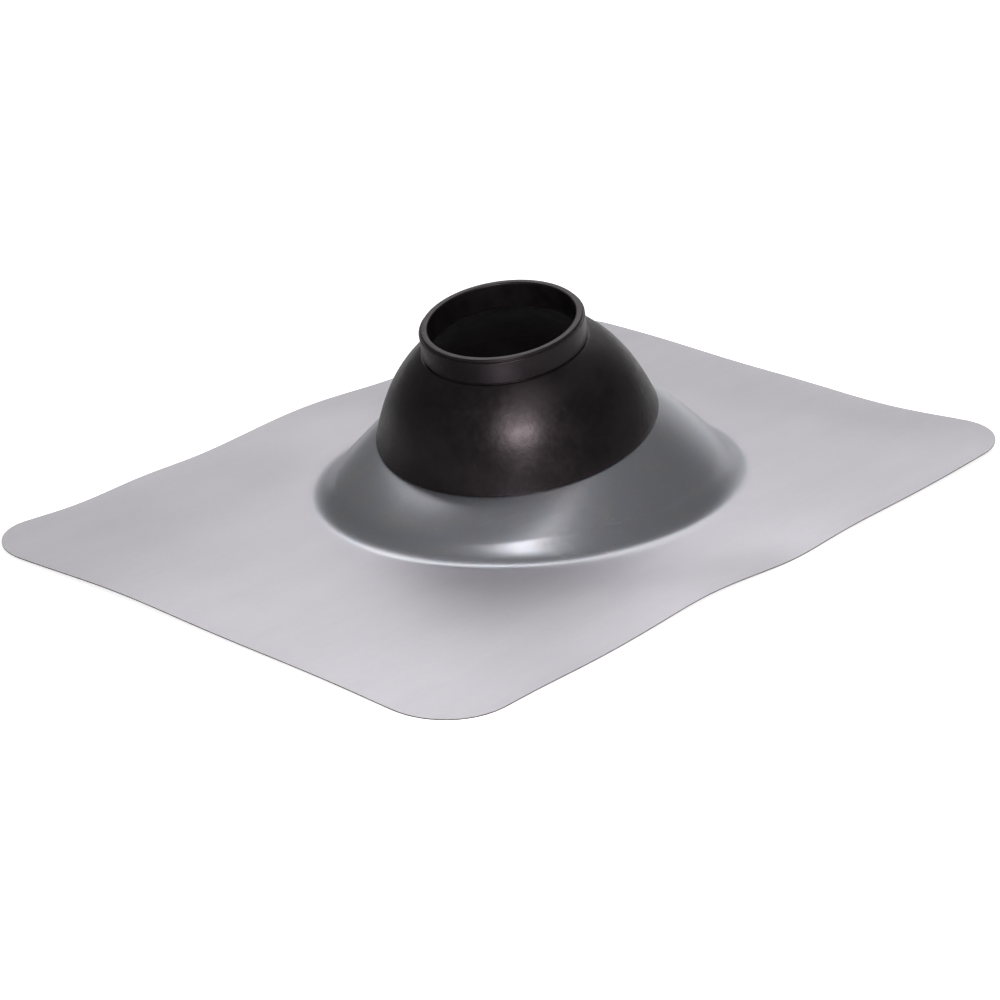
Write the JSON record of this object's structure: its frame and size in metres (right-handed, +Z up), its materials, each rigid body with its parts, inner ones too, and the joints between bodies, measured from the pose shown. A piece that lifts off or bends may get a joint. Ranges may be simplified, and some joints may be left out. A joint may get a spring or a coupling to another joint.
{
  "type": "pipe flashing boot",
  "caption": "Sheet-metal roof flashing with a drawn cone and a leaning black rubber boot that seals round a vent pipe.",
  "frame": {"origin": "under the sheet's centre, at the height of the sheet's lowest point, where it lies on a flat surface", "axes": "+X along the sheet's long side towards the eave; +Y across the sheet; +Z up, square to the roof; the boot leans 12 degrees towards -X, the ridge"},
  "size_m": [0.5, 0.35, 0.1175],
  "materials": {
    "galvanised_sheet": "satin galvanised sheet, pale grey, with soft rolling streaks",
    "boot_rubber": "semi-matte moulded black rubber"
  },
  "bodies": {
    "root": {"base_sheet": "galvanised_sheet", "rubber_boot": "boot_rubber"}
  },
  "joints": []
}
